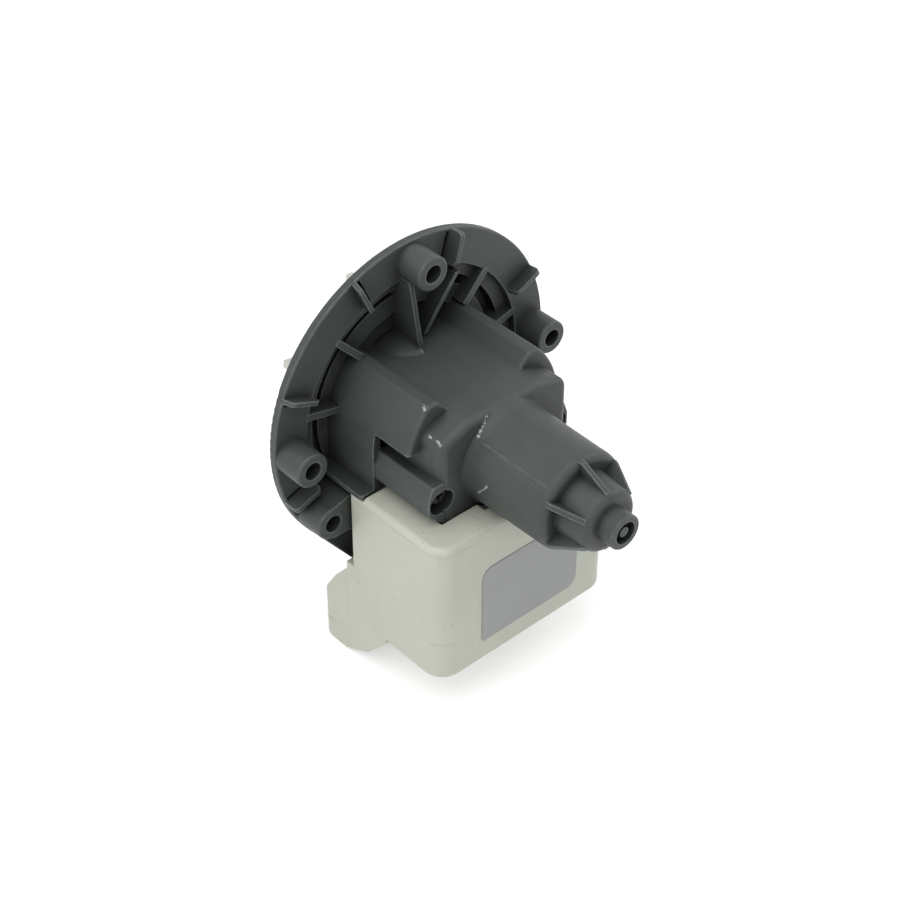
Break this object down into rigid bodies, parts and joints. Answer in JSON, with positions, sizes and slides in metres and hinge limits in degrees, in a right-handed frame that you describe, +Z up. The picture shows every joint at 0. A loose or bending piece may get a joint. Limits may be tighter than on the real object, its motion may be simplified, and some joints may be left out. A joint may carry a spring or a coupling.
{
  "type": "washer drain pump",
  "caption": "Drain pump for a washing machine: ribbed mounting flange, rotor tube with finned tail, bladed impeller in front and a boxed coil unit with a plug socket below.",
  "frame": {"origin": "on the rotor axis, in the plane of the flange's mounting face", "axes": "+X along the rotor axis from the impeller to the tail, +Z up and away from the coil cover, +Y to the right seen from the tail end with the coil cover down"},
  "size_m": [0.1082, 0.0941, 0.119],
  "materials": {
    "housing_plastic": "moulded, dark grey with a slight green cast",
    "seal_rubber": "smooth black rubber",
    "shield_plastic": "moulded, dark grey",
    "bush_graphite": "dense dark bearing material",
    "washer_plastic": "pale low-friction plastic",
    "shaft_steel": "ground",
    "magnet_ferrite": "dark sintered ferrite",
    "rotor_plastic": "moulded, pale",
    "impeller_plastic": "moulded, off-white",
    "core_steel": "stacked sheet",
    "screw_steel": "zinc plated",
    "bobbin_plastic": "moulded, pale",
    "winding_copper": "enamelled copper wire",
    "cutout_case": "moulded, black",
    "cover_plastic": "moulded, warm off-white",
    "terminal_tin": "tinned",
    "plate_foil": "satin, bare"
  },
  "bodies": {
    "pump_body": {"pump_housing": "housing_plastic", "flange_seal": "seal_rubber", "bearing_shield": "shield_plastic", "shield_seal": "seal_rubber", "shaft_seal": "seal_rubber", "front_bush": "bush_graphite", "front_washer": "washer_plastic", "rear_bush": "bush_graphite", "rear_bush_mount": "seal_rubber", "rear_washer": "washer_plastic", "stator_core": "core_steel", "core_screws": "screw_steel", "bobbin_left": "bobbin_plastic", "bobbin_right": "bobbin_plastic", "winding_left": "winding_copper", "winding_right": "winding_copper", "thermal_cutout": "cutout_case", "coil_cover": "cover_plastic", "cover_lid": "cover_plastic", "terminal_inner": "terminal_tin", "terminal_outer": "terminal_tin", "rating_plate": "plate_foil"},
    "rotor": {"shaft": "shaft_steel", "magnet": "magnet_ferrite", "magnet_sleeve": "rotor_plastic", "drive_dog": "rotor_plastic"},
    "impeller_wheel": {"impeller": "impeller_plastic", "impeller_bumper": "seal_rubber", "impeller_cap": "impeller_plastic"}
  },
  "joints": [
    {"name": "rotor_spin", "type": "hinge", "parent": "pump_body", "child": "rotor", "pos_m": [0, 0, 0], "axis": [1, 0, 0], "continuous": true},
    {"name": "impeller_lost_motion", "type": "hinge", "parent": "rotor", "child": "impeller_wheel", "pos_m": [0, 0, 0], "axis": [1, 0, 0], "range_deg": [0, 236]}
  ]
}
